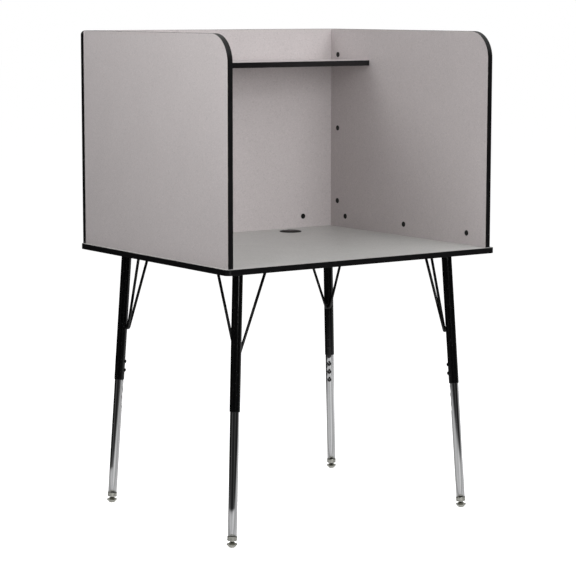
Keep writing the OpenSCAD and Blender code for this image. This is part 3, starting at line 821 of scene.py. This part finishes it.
def make_floor():
    """Plain pale floor. To mirror-like metals it glows with painted light, bright near the object, dim far away.
    """
    bpy.ops.mesh.primitive_plane_add(size=FLOOR_SIZE, location=(0, 0, 0))
    floor = bpy.context.object
    floor.name = "floor"
    shader = Shader(bpy.data.materials.new("pale_floor"))
    path = shader.add("LightPath")
    mottle = shader.blend(shader.noise(FLOOR_MOTTLE, detail=3), FLOOR_DARKEST, WHITE)
    shader.finish(Base_Color=mottle, Roughness=0.9, Specular_IOR_Level=0.0)
    glow = shader.add("Emission", {"Color": WHITE, "Strength": FLOOR_GLOW})
    seen = shader.add("AddShader")
    shader.link(shader.surface.outputs[0], seen, 0)
    shader.link(glow.outputs[0], seen, 1)
    # Painted reflection: a glow seen only by glossy rays, with the painted pools and streaks
    painted_reflection = shader.add("Emission", {"Color": WHITE, "Strength": painted_floor_reflection(shader)})
    camera_mix = shader.add("MixShader", {0: path.outputs["Is Camera Ray"]})
    shader.link(shader.surface.outputs[0], camera_mix, 1)
    shader.link(seen.outputs[0], camera_mix, 2)
    glossy_mix = shader.add("MixShader", {0: path.outputs["Is Glossy Ray"]})
    shader.link(camera_mix.outputs[0], glossy_mix, 1)
    shader.link(painted_reflection.outputs[0], glossy_mix, 2)
    shader.link(glossy_mix.outputs[0], shader.tree.nodes["Material Output"], "Surface")
    floor.data.materials.append(shader.material)


def make_world():
    """White to the camera, a dark room with a soft ceiling to mirror-like pieces, and no light."""
    world = bpy.data.worlds.new("studio")
    bpy.context.scene.world = world
    shader = Shader(world, "Generated")
    path = shader.add("LightPath")
    height = shader.add("SeparateXYZ", {0: shader.place}).outputs["Z"]
    room = shader.ramp(height, CEILING_LOW, CEILING_FULL, ROOM_BRIGHTNESS, CEILING_BRIGHTNESS)
    room = shader.math("MULTIPLY", path.outputs["Is Glossy Ray"], room)
    background = shader.tree.nodes["Background"]
    shader.put(background, "Color", WHITE)
    shader.put(background, "Strength", shader.math("MAXIMUM", path.outputs["Is Camera Ray"], room))


# Height that the lamps are turned to, and the usual distance and size of a lamp
LIGHT_AIM = 0.9
LAMP_DISTANCE = 3.2
LAMP_SIZE = 2.0

# Lamps of the usual distance and size: name, azimuth and elevation in degrees, and power
LAMPS = (
    ("front_high", 0, 50, 26),
    ("front_mid", 0, 18, 52),
    ("front_right_high", 45, 45, 27),
    ("overhead", 0, 88, 2),
    ("back_left_high", -135, 45, 23.5),
    ("left_mid", -90, 12, 7.8),
)


def soft_light(
    name, azimuth, elevation, power,
    distance=LAMP_DISTANCE, width=LAMP_SIZE, height=LAMP_SIZE, mirror_only=False,
):
    """Soft panel of light, turned to the object. Mirror-like pieces show only mirror-only panels."""
    data = bpy.data.lights.new(name, "AREA")
    data.shape = "RECTANGLE"
    data.size = width
    data.size_y = height
    data.energy = power
    lamp = bpy.data.objects.new(name, data)
    away = direction(math.radians(azimuth), math.radians(elevation))
    lamp.location = Vector((0, 0, LIGHT_AIM)) + away * distance
    lamp.rotation_mode = "QUATERNION"
    lamp.rotation_quaternion = away.to_track_quat("Z", "Y")
    lamp.visible_camera = False
    lamp.visible_glossy = mirror_only
    lamp.visible_diffuse = not mirror_only
    bpy.context.scene.collection.objects.link(lamp)


# Camera: where it stands as seen from the object, and what it is turned to. The aim's height is a share
# of the object's, and the aim's shift is to the right in the picture.
VIEW_AZIMUTH = math.radians(-35.3)
VIEW_ELEVATION = math.radians(7.72)
VIEW_DISTANCE = 6.02
VIEW_AIM = 0.4645
VIEW_SIDE = 0.0061
VIEW_ROLL = math.radians(0.06)
LENS = 130.91
SENSOR_WIDTH = 36


def make_camera():
    """Camera at the viewing angle, seen from the front left and a little above."""
    data = bpy.data.cameras.new("view")
    data.lens = LENS
    data.sensor_width = SENSOR_WIDTH
    camera = bpy.data.objects.new("view", data)
    away = direction(VIEW_AZIMUTH, VIEW_ELEVATION)
    right = Vector((math.cos(VIEW_AZIMUTH), math.sin(VIEW_AZIMUTH), 0.0))
    aim = Vector((0, 0, cad_low.z + VIEW_AIM * HEIGHT)) + right * VIEW_SIDE
    camera.location = aim + away * VIEW_DISTANCE
    camera.rotation_mode = "QUATERNION"
    camera.rotation_quaternion = away.to_track_quat("Z", "Y") @ Quaternion((0, 0, 1), VIEW_ROLL)
    bpy.context.scene.collection.objects.link(camera)
    bpy.context.scene.camera = camera


# ---- Build ----

paint_cad_nodes()
for leg in LEGS:
    rod_ends, rod_bottom, rod_radius = brace_rod(leg.corner)
    weld_beads(leg, rod_ends, rod_bottom, rod_radius)
    lower_tube(leg)

make_floor()
make_world()
for lamp_name, azimuth, elevation, power in LAMPS:
    soft_light(lamp_name, azimuth, elevation, power)
soft_light("near_left", -100, 40, 4.9, distance=1.8, width=0.8, height=0.8)
soft_light("near_front_left", -62, 22, 3.8, distance=1.5, width=0.5, height=0.5)
soft_light("strip", -10, 3, 8, width=0.22, height=1.0, mirror_only=True)
make_camera()

view = bpy.context.scene.view_settings
view.view_transform = "Standard"
view.look = "None"
